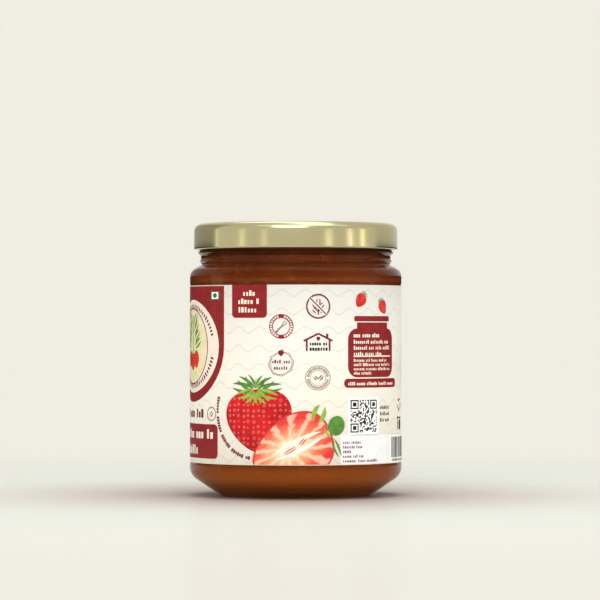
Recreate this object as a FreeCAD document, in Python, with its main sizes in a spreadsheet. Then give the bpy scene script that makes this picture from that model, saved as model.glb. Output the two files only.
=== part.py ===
"""A jar of jam: a clear glass jar, its jam, a pressed metal lid and a wrap-round paper label.

The jar's axis is Z and it stands on Z = 0. The side of the label with the fruit faces
-Y. Each piece is turned about Z from an outline drawn on the XZ plane as (radius,
height). Sizes are millimetres and degrees.
"""

import FreeCAD
import Part
import Sketcher
import os

SIZES = [
    # alias, value, what it is
    ("body_radius", 34.55, "outside of the glass body"),
    ("glass_height", 88.0, "foot up to the top of the glass rim"),
    ("wall", 3.0, "glass wall of the body"),
    ("base_thickness", 4.6, "glass floor inside, above the ground"),
    ("foot_inset", 10.15, "body's outside in to the edge of the foot"),
    ("foot_round", 5.0, "rounding of that edge"),
    ("foot_ring", 3.6, "edge of the foot in to the hollow under the base"),
    ("push_up", 1.4, "rise of that hollow"),
    ("push_up_slope", 2.5, "width of the slope round it"),
    ("push_up_round", 1.0, "rounding of the slope's two edges"),
    ("heel_rise", 6.8, "ground up to where the sloping heel meets the body"),
    ("heel_round", 4.4, "rounding of that corner"),
    ("inner_heel_round", 7.0, "rounding inside, between floor and wall"),
    ("shoulder_inset", 3.55, "body's outside in to the neck's outside"),
    ("shoulder_drop", 15.1, "rim down to the outer corner of the shoulder"),
    ("shoulder_round", 3.1, "rounding of that corner"),
    ("shoulder_thickness", 2.9, "glass of the sloping shoulder, measured upright"),
    ("inner_shoulder_round", 2.0, "rounding inside, at both ends of the slope"),
    ("waist_drop", 13.0, "rim down to the narrowest place, on top of the shoulder"),
    ("waist_inset", 0.3, "neck's outside in to that place"),
    ("waist_round", 0.3, "rounding of that place"),
    ("neck_wall", 2.4, "glass wall of the neck"),
    ("rim_round", 0.9, "rounding of the rim's two edges"),
    ("upper_bead_drop", 9.2, "rim down to the tip of the upper bead"),
    ("upper_bead_proud", 1.05, "how far that bead stands out"),
    ("upper_bead_width", 2.0, "how wide it is on the neck"),
    ("upper_bead_round", 0.15, "rounding of its tip"),
    ("lower_bead_drop", 11.85, "rim down to the tip of the lower bead"),
    ("lower_bead_proud", 0.4, "how far that bead stands out"),
    ("lower_bead_width", 1.2, "how wide it is on the neck"),
    ("lower_bead_round", 0.2, "rounding of its tip"),
    ("headspace", 6.2, "rim down to the jam"),
    ("label_lift", 4.15, "heel's corner up to the label"),
    ("label_drop", 4.8, "shoulder's corner down to the label"),
    ("label_margin", 0.5, "bare strip of the label's panel above and below the label"),
    ("label_thickness", 0.15, "paper, and depth of the panel that it lies in"),
    ("label_wrap", 356.0, "how far round the jar the label goes"),
    ("label_turn", -162.0, "turn about Z that brings the label's open seam to its place"),
    ("lid_gap", 1.75, "neck's outside out to the inside of the lid's skirt"),
    ("lid_flare", 0.15, "widening of the skirt from top to bottom"),
    ("lid_height", 8.55, "top of the lid down to the bottom of its curl"),
    ("lid_round", 2.4, "rounding of the lid's top edge"),
    ("sheet", 0.3, "metal of the lid"),
    ("curl_radius", 0.65, "rolled edge at the bottom of the skirt"),
    ("panel_inset", 1.6, "mouth of the glass in to the lid's sunk panel"),
    ("panel_slope", 0.8, "width of the step round that panel"),
    ("panel_sink", 0.6, "depth of the panel"),
    ("panel_round", 0.4, "rounding of the step's two edges"),
]

INNER_RADIUS = "(Sizes.body_radius - Sizes.wall)"
FOOT_RADIUS = "(Sizes.body_radius - Sizes.foot_inset)"
HOLLOW_RADIUS = f"({FOOT_RADIUS} - Sizes.foot_ring)"
NECK_RADIUS = "(Sizes.body_radius - Sizes.shoulder_inset)"
MOUTH_RADIUS = f"({NECK_RADIUS} - Sizes.neck_wall)"
WAIST_RADIUS = f"({NECK_RADIUS} - Sizes.waist_inset)"
LABEL_INSIDE = "(Sizes.body_radius - Sizes.label_thickness)"
LID_RADIUS = f"({NECK_RADIUS} + Sizes.lid_gap + Sizes.sheet)"
SKIRT_RADIUS = f"({LID_RADIUS} + Sizes.lid_flare)"
PANEL_RADIUS = f"({MOUTH_RADIUS} - Sizes.panel_inset)"

SHOULDER = "(Sizes.glass_height - Sizes.shoulder_drop)"
INNER_SHOULDER = f"({SHOULDER} - Sizes.shoulder_thickness)"
WAIST = "(Sizes.glass_height - Sizes.waist_drop)"
INNER_WAIST = f"({WAIST} - Sizes.shoulder_thickness)"
JAM_TOP = "(Sizes.glass_height - Sizes.headspace)"
LABEL_BOTTOM = "(Sizes.heel_rise + Sizes.label_lift)"
LABEL_TOP = f"({SHOULDER} - Sizes.label_drop)"
LID_TOP = "(Sizes.glass_height + Sizes.sheet)"
CURL_MIDDLE = f"({LID_TOP} - Sizes.lid_height + Sizes.curl_radius)"

AXIS = None
GROUND = None
SHARP = None
NO_VOLUME = 1e-3

# What Sketcher calls a sketch's own lines, and the points of a piece of geometry.
FLAT_AXIS = -1
UPRIGHT_AXIS = -2
START = 1
END = 2
MIDDLE = 3

document = FreeCAD.newDocument("jam_jar")


def make_sizes():
    """The sheet that every outline and feature is bound to."""
    sheet = document.addObject("Spreadsheet::Sheet", "Sizes")
    for row, (alias, value, meaning) in enumerate(SIZES, start=1):
        sheet.set(f"A{row}", meaning)
        sheet.set(f"B{row}", str(value))
        sheet.setAlias(f"B{row}", alias)
    document.recompute()
    return sheet


sizes = make_sizes()


def worked_out(expression):
    """The value of an expression over the sheet; the axis and the ground are at 0."""
    return 0.0 if expression is None else float(sizes.evalExpression(expression))


def new_piece(label):
    """An empty body; its label is the piece's name."""
    piece = document.addObject("PartDesign::Body", label)
    piece.Label = label
    piece.Placement = FreeCAD.Placement()
    return piece


def new_sketch(piece, name):
    """A sketch on the piece's own XZ plane."""
    plane = next(item for item in piece.Origin.OriginFeatures if item.Role == "XZ_Plane")
    sketch = piece.newObject("Sketcher::SketchObject", name)
    sketch.AttachmentSupport = [(plane, "")]
    sketch.MapMode = "FlatFace"
    sketch.Visibility = False
    return sketch


def bind(sketch, constraint, name, expression):
    """Adds a constraint whose size follows an expression."""
    sketch.renameConstraint(sketch.addConstraint(constraint), name)
    sketch.setExpression(f"Constraints.{name}", expression)


def pin(sketch, name, line, end, radius, height):
    """Holds a line's end at (radius, height), on the axis or on the ground."""
    if radius is AXIS:
        sketch.addConstraint(Sketcher.Constraint("PointOnObject", line, end, UPRIGHT_AXIS))
    else:
        across = worked_out(radius)
        size = Sketcher.Constraint("DistanceX", FLAT_AXIS, START, line, end, across)
        bind(sketch, size, f"{name}_radius", radius)
    if height is GROUND:
        sketch.addConstraint(Sketcher.Constraint("PointOnObject", line, end, FLAT_AXIS))
    else:
        up = worked_out(height)
        size = Sketcher.Constraint("DistanceY", FLAT_AXIS, START, line, end, up)
        bind(sketch, size, f"{name}_height", height)


def round_corner(sketch, name, line, rounding):
    """Rounds the corner where a line starts, and leaves the corner itself pinned."""
    arc = sketch.GeometryCount
    size = worked_out(rounding)
    sketch.fillet(line, START, size, True, True)
    bind(sketch, Sketcher.Constraint("Radius", arc, size), f"{name}_round", rounding)


def draw_outline(piece, name, corners):
    """A closed outline through corners (name, radius, height, rounding or SHARP)."""
    sketch = new_sketch(piece, name)
    places = [FreeCAD.Vector(worked_out(r), worked_out(z), 0.0) for _, r, z, _ in corners]
    following = [(side + 1) % len(corners) for side in range(len(corners))]
    for side, after in enumerate(following):
        sketch.addGeometry(Part.LineSegment(places[side], places[after]))
    for side, after in enumerate(following):
        sketch.addConstraint(Sketcher.Constraint("Coincident", side, END, after, START))
    for side, (corner, radius, height, _) in enumerate(corners):
        pin(sketch, corner, side, START, radius, height)
    for side, (corner, _, _, rounding) in enumerate(corners):
        if rounding is not SHARP:
            round_corner(sketch, corner, side, rounding)
    return sketch


def turn(piece, name, sketch, kind="Revolution"):
    """Turns a sketch about Z: a Revolution adds it to the piece, a Groove cuts it away."""
    before = piece.Shape.Volume if kind == "Groove" else None
    feature = piece.newObject(f"PartDesign::{kind}", name)
    feature.Profile = sketch
    feature.ReferenceAxis = (sketch, ["V_Axis"])
    document.recompute()
    if kind == "Groove" and feature.Shape.Volume > before - NO_VOLUME:
        raise RuntimeError(f"{name} cuts nothing away")
    return feature


# The room inside the glass, from the middle of its floor up to the foot of the neck.
INSIDE = [
    ("floor_middle", AXIS, "Sizes.base_thickness", SHARP),
    ("floor_edge", INNER_RADIUS, "Sizes.base_thickness", "Sizes.inner_heel_round"),
    ("wall_top", INNER_RADIUS, INNER_SHOULDER, "Sizes.inner_shoulder_round"),
    ("neck_foot", MOUTH_RADIUS, INNER_WAIST, "Sizes.inner_shoulder_round"),
]


def make_glass_jar():
    """The glass: foot, sloping heel, body, shoulder, neck with two beads, and rim."""
    glass = new_piece("glass_jar")
    bead_bottom = "(Sizes.glass_height - Sizes.lower_bead_drop - Sizes.lower_bead_width / 2)"
    hollow_top = f"({HOLLOW_RADIUS} - Sizes.push_up_slope)"
    corners = [
        ("hollow_middle", AXIS, "Sizes.push_up", SHARP),
        ("hollow_top", hollow_top, "Sizes.push_up", "Sizes.push_up_round"),
        ("hollow_edge", HOLLOW_RADIUS, GROUND, "Sizes.push_up_round"),
        ("foot", FOOT_RADIUS, GROUND, "Sizes.foot_round"),
        ("heel", "Sizes.body_radius", "Sizes.heel_rise", "Sizes.heel_round"),
        ("shoulder", "Sizes.body_radius", SHOULDER, "Sizes.shoulder_round"),
        ("waist", WAIST_RADIUS, WAIST, "Sizes.waist_round"),
        ("neck", NECK_RADIUS, bead_bottom, SHARP),
        ("rim_outside", NECK_RADIUS, "Sizes.glass_height", "Sizes.rim_round"),
        ("rim_inside", MOUTH_RADIUS, "Sizes.glass_height", "Sizes.rim_round"),
    ]
    turn(glass, "wall_and_base", draw_outline(glass, "section", corners + INSIDE[::-1]))
    add_bead(glass, "upper_bead")
    add_bead(glass, "lower_bead")
    cut_label_panel(glass)
    return glass


def add_bead(glass, name):
    """A pointed ring round the neck; its four sizes are named after it."""
    tip = f"(Sizes.glass_height - Sizes.{name}_drop)"
    root_top = f"({tip} + Sizes.{name}_width / 2)"
    root_bottom = f"({tip} - Sizes.{name}_width / 2)"
    buried = f"({NECK_RADIUS} - Sizes.neck_wall / 2)"
    corners = [
        ("buried_top", buried, root_top, SHARP),
        ("root_top", NECK_RADIUS, root_top, SHARP),
        ("tip", f"({NECK_RADIUS} + Sizes.{name}_proud)", tip, f"Sizes.{name}_round"),
        ("root_bottom", NECK_RADIUS, root_bottom, SHARP),
        ("buried_bottom", buried, root_bottom, SHARP),
    ]
    turn(glass, name, draw_outline(glass, f"{name}_outline", corners))


def cut_label_panel(glass):
    """The band, as deep as the paper, that lets the label lie flush with the glass."""
    bottom = f"({LABEL_BOTTOM} - Sizes.label_margin)"
    top = f"({LABEL_TOP} + Sizes.label_margin)"
    clear = "(Sizes.body_radius + Sizes.label_thickness)"
    corners = [
        ("inner_bottom", LABEL_INSIDE, bottom, SHARP),
        ("outer_bottom", clear, bottom, SHARP),
        ("outer_top", clear, top, SHARP),
        ("inner_top", LABEL_INSIDE, top, SHARP),
    ]
    turn(glass, "label_panel", draw_outline(glass, "label_panel_outline", corners), "Groove")


def make_jam():
    """The jam fills the glass from its floor to just under the lid."""
    jam = new_piece("jam")
    surface = [
        ("surface_edge", MOUTH_RADIUS, JAM_TOP, SHARP),
        ("surface_middle", AXIS, JAM_TOP, SHARP),
    ]
    turn(jam, "filling", draw_outline(jam, "filling_outline", INSIDE + surface))
    return jam


def make_label():
    """The paper lies in its panel round the body and leaves a narrow seam open."""
    label = new_piece("label")
    corners = [
        ("inner_bottom", LABEL_INSIDE, LABEL_BOTTOM, SHARP),
        ("outer_bottom", "Sizes.body_radius", LABEL_BOTTOM, SHARP),
        ("outer_top", "Sizes.body_radius", LABEL_TOP, SHARP),
        ("inner_top", LABEL_INSIDE, LABEL_TOP, SHARP),
    ]
    paper = turn(label, "paper", draw_outline(label, "paper_outline", corners))
    paper.Midplane = True
    paper.setExpression("Angle", "Sizes.label_wrap")
    label.setExpression("Placement.Rotation.Angle", "Sizes.label_turn")
    document.recompute()
    return label


def make_lid():
    """The lid: a pressed sheet whose top rests on the rim, with a rolled bottom edge."""
    lid = new_piece("lid")
    panel = f"({LID_TOP} - Sizes.panel_sink)"
    step_top = f"({PANEL_RADIUS} + Sizes.panel_slope)"
    corners = [
        ("bottom_middle", AXIS, CURL_MIDDLE, SHARP),
        ("skirt_bottom", SKIRT_RADIUS, CURL_MIDDLE, SHARP),
        ("skirt_top", LID_RADIUS, LID_TOP, "Sizes.lid_round"),
        ("step_top", step_top, LID_TOP, "Sizes.panel_round"),
        ("step_bottom", PANEL_RADIUS, panel, "Sizes.panel_round"),
        ("panel_middle", AXIS, panel, SHARP),
    ]
    turn(lid, "pressing", draw_outline(lid, "pressing_outline", corners))
    hollow_out(lid)
    add_curl(lid)
    return lid


def hollow_out(lid):
    """Leaves only the sheet, inside the pressing's outline and open at the bottom."""
    solid = lid.Tip
    faces = solid.Shape.Faces
    lowest = min(range(len(faces)), key=lambda place: faces[place].BoundBox.ZMax)
    sheet = lid.newObject("PartDesign::Thickness", "sheet")
    sheet.Base = (solid, [f"Face{lowest + 1}"])
    sheet.Reversed = True
    sheet.setExpression("Value", "Sizes.sheet")
    document.recompute()
    if sheet.Shape.Volume > solid.Shape.Volume - NO_VOLUME:
        raise RuntimeError("the lid isn't hollow")


def add_curl(lid):
    """The rolled edge: a ring of round section flush with the skirt's outside."""
    outline = new_sketch(lid, "curl_outline")
    middle = f"({SKIRT_RADIUS} - Sizes.curl_radius)"
    place = FreeCAD.Vector(worked_out(middle), worked_out(CURL_MIDDLE), 0.0)
    size = worked_out("Sizes.curl_radius")
    circle = outline.addGeometry(Part.Circle(place, FreeCAD.Vector(0.0, 0.0, 1.0), size))
    pin(outline, "middle", circle, MIDDLE, middle, CURL_MIDDLE)
    bind(outline, Sketcher.Constraint("Radius", circle, size), "section", "Sizes.curl_radius")
    turn(lid, "curl", outline)


def check(pieces):
    """Stops if any object failed, or if a piece isn't one valid solid."""
    for item in document.Objects:
        if "Invalid" in item.State or "Error" in item.State:
            raise RuntimeError(f"{item.Label} failed: {item.State}")
    for piece in pieces:
        if piece.Shape.isNull() or not piece.Shape.isValid():
            raise RuntimeError(f"{piece.Label} has no valid shape")
        if len(piece.Shape.Solids) != 1:
            raise RuntimeError(f"{piece.Label} has {len(piece.Shape.Solids)} solids")


def write(pieces):
    """One STEP file for each piece, named after it."""
    os.makedirs("parts", exist_ok=True)
    for piece in pieces:
        piece.Shape.exportStep(f"parts/{piece.Label}.step")


all_pieces = [make_glass_jar(), make_jam(), make_label(), make_lid()]
check(all_pieces)
write(all_pieces)
for each in all_pieces:
    print(each.Label, round(each.Shape.Volume), each.Shape.BoundBox)
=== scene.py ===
"""A jar of jam: clear glass jar, jam, satin metal lid and a printed paper label.

The jar stands on Z = 0 about the Z axis, and the fruit side of the label faces -Y.
Turned pieces are worked out from outlines in millimetres, and the print is cut flat,
at (along the label, height), and then wrapped round the glass.
"""

import math
import random

import bpy
from mathutils import Matrix, Vector


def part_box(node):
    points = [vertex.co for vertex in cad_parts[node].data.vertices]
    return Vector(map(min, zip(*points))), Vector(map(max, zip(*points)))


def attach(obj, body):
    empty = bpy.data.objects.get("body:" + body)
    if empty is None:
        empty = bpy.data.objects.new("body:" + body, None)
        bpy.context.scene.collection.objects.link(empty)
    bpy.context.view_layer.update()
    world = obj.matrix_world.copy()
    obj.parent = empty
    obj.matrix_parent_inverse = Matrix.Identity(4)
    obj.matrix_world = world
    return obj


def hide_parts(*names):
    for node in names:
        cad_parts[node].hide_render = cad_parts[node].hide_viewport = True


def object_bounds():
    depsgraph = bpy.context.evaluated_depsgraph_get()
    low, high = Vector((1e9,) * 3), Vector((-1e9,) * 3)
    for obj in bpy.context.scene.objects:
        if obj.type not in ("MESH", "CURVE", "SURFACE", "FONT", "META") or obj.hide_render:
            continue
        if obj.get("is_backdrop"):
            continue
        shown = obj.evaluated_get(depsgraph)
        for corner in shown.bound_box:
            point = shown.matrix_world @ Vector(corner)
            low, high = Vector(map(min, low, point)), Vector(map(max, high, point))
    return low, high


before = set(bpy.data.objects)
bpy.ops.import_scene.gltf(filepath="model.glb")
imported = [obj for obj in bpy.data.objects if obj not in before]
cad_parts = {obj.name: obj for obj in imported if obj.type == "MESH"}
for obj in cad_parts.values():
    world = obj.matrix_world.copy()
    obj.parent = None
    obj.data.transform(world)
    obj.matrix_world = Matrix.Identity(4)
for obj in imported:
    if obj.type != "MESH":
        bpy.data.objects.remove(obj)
cad_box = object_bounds()

MM = 0.001
ROUND_STEPS = 160
CORNER_STEPS = 6

_, glass_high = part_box("glass_jar")
label_low, label_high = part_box("label")
lid_low, lid_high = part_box("lid")
jam_low, jam_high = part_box("jam")

BODY_RADIUS = label_high.x / MM
GLASS_TOP = glass_high.z / MM
LABEL_BOTTOM = label_low.z / MM
LABEL_TOP = label_high.z / MM
LID_TOP = lid_high.z / MM
LID_BOTTOM = lid_low.z / MM
JAM_TOP = jam_high.z / MM
FLOOR_TOP = jam_low.z / MM

WALL = 3.0
NECK_RADIUS = BODY_RADIUS - 3.55
MOUTH_RADIUS = NECK_RADIUS - 2.4
FOOT_RADIUS = BODY_RADIUS - 10.15
HOLLOW_RADIUS = FOOT_RADIUS - 3.6
SHOULDER = GLASS_TOP - 15.1
WAIST = GLASS_TOP - 13.0
INTO_WALL = 0.08
PAPER_RADIUS = BODY_RADIUS - 0.11
LAYER = 0.02
SEAM_ANGLE = 108.0
SEAM_WIDTH = 4.0
CUT_WIDTH = 1.2

SURROUND_LIGHT = 0.52

finishes = {}


# Working by hand


def fresh():
    """Deselects everything."""
    bpy.ops.object.select_all(action="DESELECT")


def alone(piece):
    """Selects one piece and nothing else."""
    if bpy.context.mode != "OBJECT":
        bpy.ops.object.mode_set(mode="OBJECT")
    fresh()
    piece.select_set(True)
    bpy.context.view_layer.objects.active = piece


def edit(piece):
    """Opens one piece in edit mode with all of it selected."""
    alone(piece)
    bpy.ops.object.mode_set(mode="EDIT")
    bpy.ops.mesh.select_all(action="SELECT")


def done():
    """Leaves edit mode."""
    bpy.ops.object.mode_set(mode="OBJECT")


def pick(piece, wanted):
    """In edit mode, selects only the points whose place passes the test."""
    bpy.ops.mesh.select_all(action="DESELECT")
    bpy.ops.object.mode_set(mode="OBJECT")
    for point in piece.data.vertices:
        point.select = wanted(point.co)
    bpy.ops.object.mode_set(mode="EDIT")


def joined(pieces, name):
    """One piece made of several."""
    alone(pieces[0])
    for piece in pieces:
        piece.select_set(True)
    if len(pieces) > 1:
        bpy.ops.object.join()
    whole = bpy.context.object
    whole.name = name
    whole.data.name = name
    return whole


def turned(name, outline, steps=ROUND_STEPS):
    """A piece turned about Z from corners (radius, height, rounding) in millimetres."""
    fresh()
    bpy.ops.mesh.primitive_plane_add(size=MM)
    piece = bpy.context.object
    piece.name = name
    piece.data.name = name
    edit(piece)
    bpy.ops.mesh.merge(type="CENTER")
    corners = [Vector((radius, 0.0, height)) * MM for radius, height, _ in outline]
    bpy.ops.transform.translate(value=corners[0])
    for before, corner in zip(corners, corners[1:]):
        step = {"value": corner - before}
        bpy.ops.mesh.extrude_vertices_move(TRANSFORM_OT_translate=step)
    for place in range(1, len(corners) - 1):
        if outline[place][2]:
            round_off(piece, corners[place - 1 : place + 2], outline[place][2] * MM)
    bpy.ops.mesh.select_all(action="SELECT")
    bpy.ops.mesh.spin(steps=steps, angle=math.tau, center=(0, 0, 0), axis=(0, 0, 1))
    bpy.ops.mesh.select_all(action="SELECT")
    bpy.ops.mesh.remove_doubles(threshold=0.001 * MM)
    bpy.ops.mesh.normals_make_consistent(inside=False)
    done()
    return piece


def round_off(piece, corners, rounding):
    """Rounds the outline's middle corner of three to the given radius."""
    before, corner, after = corners
    half_angle = (before - corner).angle(after - corner) / 2
    reach = rounding / math.tan(half_angle)
    pick(piece, lambda place: (place - corner).length < 0.0001 * MM)
    bpy.ops.mesh.bevel(offset=reach, segments=CORNER_STEPS, affect="VERTICES")


def smooth(piece, degrees=35.0):
    """Shades a piece smooth but for its sharp edges."""
    alone(piece)
    bpy.ops.object.shade_smooth_by_angle(angle=math.radians(degrees))


def finish(piece, material, slot, *nodes):
    """Gives a piece its material and its body, and hides the CAD nodes that it stands for."""
    piece.data.materials.clear()
    piece.data.materials.append(material)
    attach(piece, "root")
    if nodes:
        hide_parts(*nodes)
    return piece


# Materials


def srgb(red, green, blue):
    """A colour given in the 0-255 steps of a colour chart, as the shader takes it."""
    steps = [value / 255.0 for value in (red, green, blue)]
    light = [v / 12.92 if v <= 0.04045 else ((v + 0.055) / 1.055) ** 2.4 for v in steps]
    return (*light, 1.0)


def grey(value):
    """A grey of that brightness."""
    return (value, value, value, 1.0)


BACKDROP = srgb(240, 237, 226)
VALUE, VECTOR, COLOUR = "NodeSocketFloat", "NodeSocketVector", "NodeSocketColor"


def new_material(name):
    """A material, its node tree and its shader."""
    material = bpy.data.materials.new(name)
    material.use_nodes = True
    return material, material.node_tree, material.node_tree.nodes["Principled BSDF"]


def join(tree, value, plug):
    """Gives one input a socket or a plain constant."""
    if isinstance(value, bpy.types.NodeSocket):
        tree.links.new(value, plug)
    else:
        plug.default_value = value


def feed(tree, node, **values):
    """Gives a node's inputs, named by their labels, a socket or a constant each."""
    for key, value in values.items():
        join(tree, value, node.inputs[key.replace("_", " ")])


def add(tree, kind, **settings):
    """Adds a node; settings name its properties, or its inputs by their label."""
    node = tree.nodes.new(kind)
    for key, value in settings.items():
        if key.replace("_", " ") in node.inputs:
            feed(tree, node, **{key: value})
        else:
            setattr(node, key, value)
    return node


def noise(tree, where, scale, detail=3.0, roughness=0.5):
    """A noise texture's value at a place."""
    values = dict(Vector=where, Scale=scale, Detail=detail, Roughness=roughness)
    return add(tree, "ShaderNodeTexNoise", **values).outputs["Fac"]


def ramp(tree, value, *stops):
    """Turns a value into colours; each stop is (position, colour)."""
    node = add(tree, "ShaderNodeValToRGB", Fac=value)
    elements = node.color_ramp.elements
    while len(elements) < len(stops):
        elements.new(0.5)
    for element, (position, colour) in zip(elements, stops):
        element.position = position
        element.color = colour
    return node.outputs["Color"]


def fade(tree, value, low, high, start=0.0, end=1.0):
    """A grey that goes from start to end while a value goes from low to high."""
    return ramp(tree, value, (low, grey(start)), (high, grey(end)))


def mixed(tree, amount, first, second, how="MIX"):
    """Mixes two colours, each a socket or a plain colour, by an amount."""
    node = add(tree, "ShaderNodeMix", data_type="RGBA", blend_type=how)
    join(tree, amount, node.inputs["Factor"])
    colours = [plug for plug in node.inputs if plug.type == "RGBA"]
    for plug, value in zip(colours, (first, second)):
        join(tree, value, plug)
    return next(plug for plug in node.outputs if plug.type == "RGBA")


def maths(tree, how, first, second=0.0, third=0.0):
    """One step of arithmetic on sockets or plain numbers."""
    node = add(tree, "ShaderNodeMath", operation=how)
    for plug, value in zip(node.inputs, (first, second, third)):
        join(tree, value, plug)
    return node.outputs[0]


def bump(tree, height, shader, distance, strength=1.0):
    """Relief from a height, in metres."""
    node = add(tree, "ShaderNodeBump", Height=height, Distance=distance, Strength=strength)
    feed(tree, shader, Normal=node.outputs["Normal"])


def object_place(tree):
    """Where on the piece, in the piece's own metres."""
    return tree.nodes.new("ShaderNodeTexCoord").outputs["Object"]


def print_place(tree):
    """Where on the flat label, in millimetres."""
    return add(tree, "ShaderNodeUVMap", uv_map="print").outputs["UV"]


def once(make):
    """Makes a thing the first time that it is asked for, and then returns it."""
    made = []

    def give():
        if not made:
            made.append(make())
        return made[0]

    return give


def new_group(name, inputs, outputs):
    """A shared effect: a node group with its named inputs and outputs."""
    tree = bpy.data.node_groups.new(name, "ShaderNodeTree")
    for side, sockets in (("INPUT", inputs), ("OUTPUT", outputs)):
        for label, kind in sockets.items():
            tree.interface.new_socket(label, in_out=side, socket_type=kind)
    given = tree.nodes.new("NodeGroupInput").outputs
    return tree, given, tree.nodes.new("NodeGroupOutput")


def placed(tree, group, **values):
    """Places a shared effect in a material; each value is a socket or a constant."""
    return add(tree, "ShaderNodeGroup", node_tree=group, **values).outputs


@once
def two_tone():
    """A colour that drifts between two, in soft clouds."""
    inputs = dict(Place=VECTOR, Scale=VALUE, Dark=COLOUR, Light=COLOUR)
    tree, given, result = new_group("two_tone", inputs, dict(Color=COLOUR))
    cloud = noise(tree, given["Place"], given["Scale"], 2.0)
    share = fade(tree, cloud, 0.35, 0.65)
    feed(tree, result, Color=mixed(tree, share, given["Dark"], given["Light"]))
    return tree


@once
def paper_fibre():
    """Fibres of coated paper: their height, and a roughness that follows them."""
    inputs, outputs = dict(Place=VECTOR, Sheen=VALUE), dict(Height=VALUE, Roughness=VALUE)
    tree, given, result = new_group("paper_fibre", inputs, outputs)
    fibre = noise(tree, given["Place"], 5.0, 4.0, 0.6)
    share = fade(tree, fibre, 0.3, 0.7)
    low = maths(tree, "SUBTRACT", given["Sheen"], 0.05)
    feed(tree, result, Height=fibre, Roughness=maths(tree, "MULTIPLY_ADD", share, 0.1, low))
    return tree


@once
def leaf_veins():
    """Pale slanting veins over a leaf's colour."""
    inputs = dict(Place=VECTOR, Scale=VALUE, Leaf=COLOUR, Vein=COLOUR)
    tree, given, result = new_group("leaf_veins", inputs, dict(Color=COLOUR))
    values = dict(Vector=given["Place"], Scale=given["Scale"], Distortion=3.0, Detail=1.0)
    wave = add(tree, "ShaderNodeTexWave", bands_direction="DIAGONAL", **values)
    share = fade(tree, wave.outputs["Fac"], 0.75, 0.95, end=0.5)
    feed(tree, result, Color=mixed(tree, share, given["Leaf"], given["Vein"]))
    return tree


@once
def berry_pits():
    """Rows of pits with a pale rim, and a seed in each."""
    inputs = dict(Place=VECTOR, Scale=VALUE, Skin=COLOUR, Rim=COLOUR, Seed=COLOUR)
    tree, given, result = new_group("berry_pits", inputs, dict(Color=COLOUR))
    values = dict(Vector=given["Place"], Scale=given["Scale"], Randomness=0.3)
    near = add(tree, "ShaderNodeTexVoronoi", **values).outputs["Distance"]
    ring = ramp(tree, near, (0.16, grey(0.0)), (0.24, grey(1.0)), (0.32, grey(0.0)))
    colour = mixed(tree, ring, given["Skin"], given["Rim"])
    pit = fade(tree, near, 0.08, 0.17, 1.0, 0.0)
    feed(tree, result, Color=mixed(tree, pit, colour, given["Seed"]))
    return tree


def clouded(tree, place, scale, dark, light):
    """A colour from the shared two-tone clouds."""
    return placed(tree, two_tone(), Place=place, Scale=scale, Dark=dark, Light=light)["Color"]


def clear_glass():
    """Thick jar glass, faintly green, with a slight ripple from the mould."""
    material, tree, shader = new_material("clear_jar_glass")
    place = object_place(tree)
    smudge = noise(tree, place, 240.0, 4.0)
    feed(
        tree,
        shader,
        Base_Color=(0.97, 0.98, 0.97, 1.0),
        Transmission_Weight=1.0,
        IOR=1.33,
        Specular_Tint=grey(0.05),
        Roughness=fade(tree, smudge, 0.45, 0.8, end=0.05),
    )
    bump(tree, noise(tree, place, 90.0, 2.0), shader, 0.0002)
    tint = add(tree, "ShaderNodeVolumeAbsorption", Color=(0.3, 0.42, 0.25, 1.0), Density=60.0)
    feed(tree, tree.nodes["Material Output"], Volume=tint.outputs["Volume"])
    return material


def fruit_jam():
    """Dense cooked jam: brown-red, with darker fruit, paler pulp and small seeds."""
    material, tree, shader = new_material("fruit_jam")
    place = object_place(tree)
    stops = ((0.3, srgb(132, 54, 18)), (0.5, srgb(150, 64, 23)), (0.72, srgb(166, 78, 32)))
    colour = ramp(tree, noise(tree, place, 55.0, 4.0, 0.6), *stops)
    pulp = noise(tree, place, 310.0, 3.0, 0.6)
    fleck = fade(tree, pulp, 0.58, 0.7, end=0.7)
    colour = mixed(tree, fleck, colour, srgb(184, 90, 42))
    cells = add(tree, "ShaderNodeTexVoronoi", Vector=place, Scale=420.0, Randomness=1.0)
    seed = fade(tree, cells.outputs["Distance"], 0.07, 0.12, 0.5, 0.0)
    colour = mixed(tree, seed, colour, srgb(206, 132, 72))
    # painted light on the jam's foot and painted shade rings at the neck, both set by height
    colour = painted_jam_bands(tree, colour, add(tree, "ShaderNodeSeparateXYZ", Vector=place).outputs["Z"])
    rough = fade(tree, pulp, 0.3, 0.7, 0.25, 0.5)
    feed(tree, shader, Base_Color=colour, Roughness=rough, Specular_IOR_Level=0.12)
    bump(tree, pulp, shader, 0.0002)
    return material


def painted_jam_bands(tree, colour, height):
    """Painted light and shade on the jam: a paler foot painted where the heel gets little light,
    and painted dark rings where the neck's beads and waist darken the view through the glass.
    """
    foot_tall, neck_from, neck_tall = 0.02, 0.072, 0.008
    low = maths(tree, "MULTIPLY", height, 1 / foot_tall)
    # painted light: the jam's lower part is made paler where the heel gets little light
    foot_painted_light = fade(tree, low, 0.15, 0.9, 1.0, 0.0)
    colour = mixed(tree, foot_painted_light, colour, srgb(245, 128, 52))
    neck = maths(tree, "MULTIPLY_ADD", height, 1 / neck_tall, -neck_from / neck_tall)
    # painted shade: near-black rings at the waist and both beads stand in for the glass's
    # darkening there
    waist = ((0.2, grey(0.0)), (0.3, grey(0.7)), (0.38, grey(0.15)))
    lower_bead = ((0.46, grey(0.65)), (0.53, grey(0.05)))
    upper_bead = ((0.68, grey(0.1)), (0.78, grey(0.9)), (0.88, grey(0.25)))
    neck_painted_shade = ramp(tree, neck, *waist, *lower_bead, *upper_bead)
    return mixed(tree, neck_painted_shade, colour, srgb(40, 20, 8))


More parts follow.
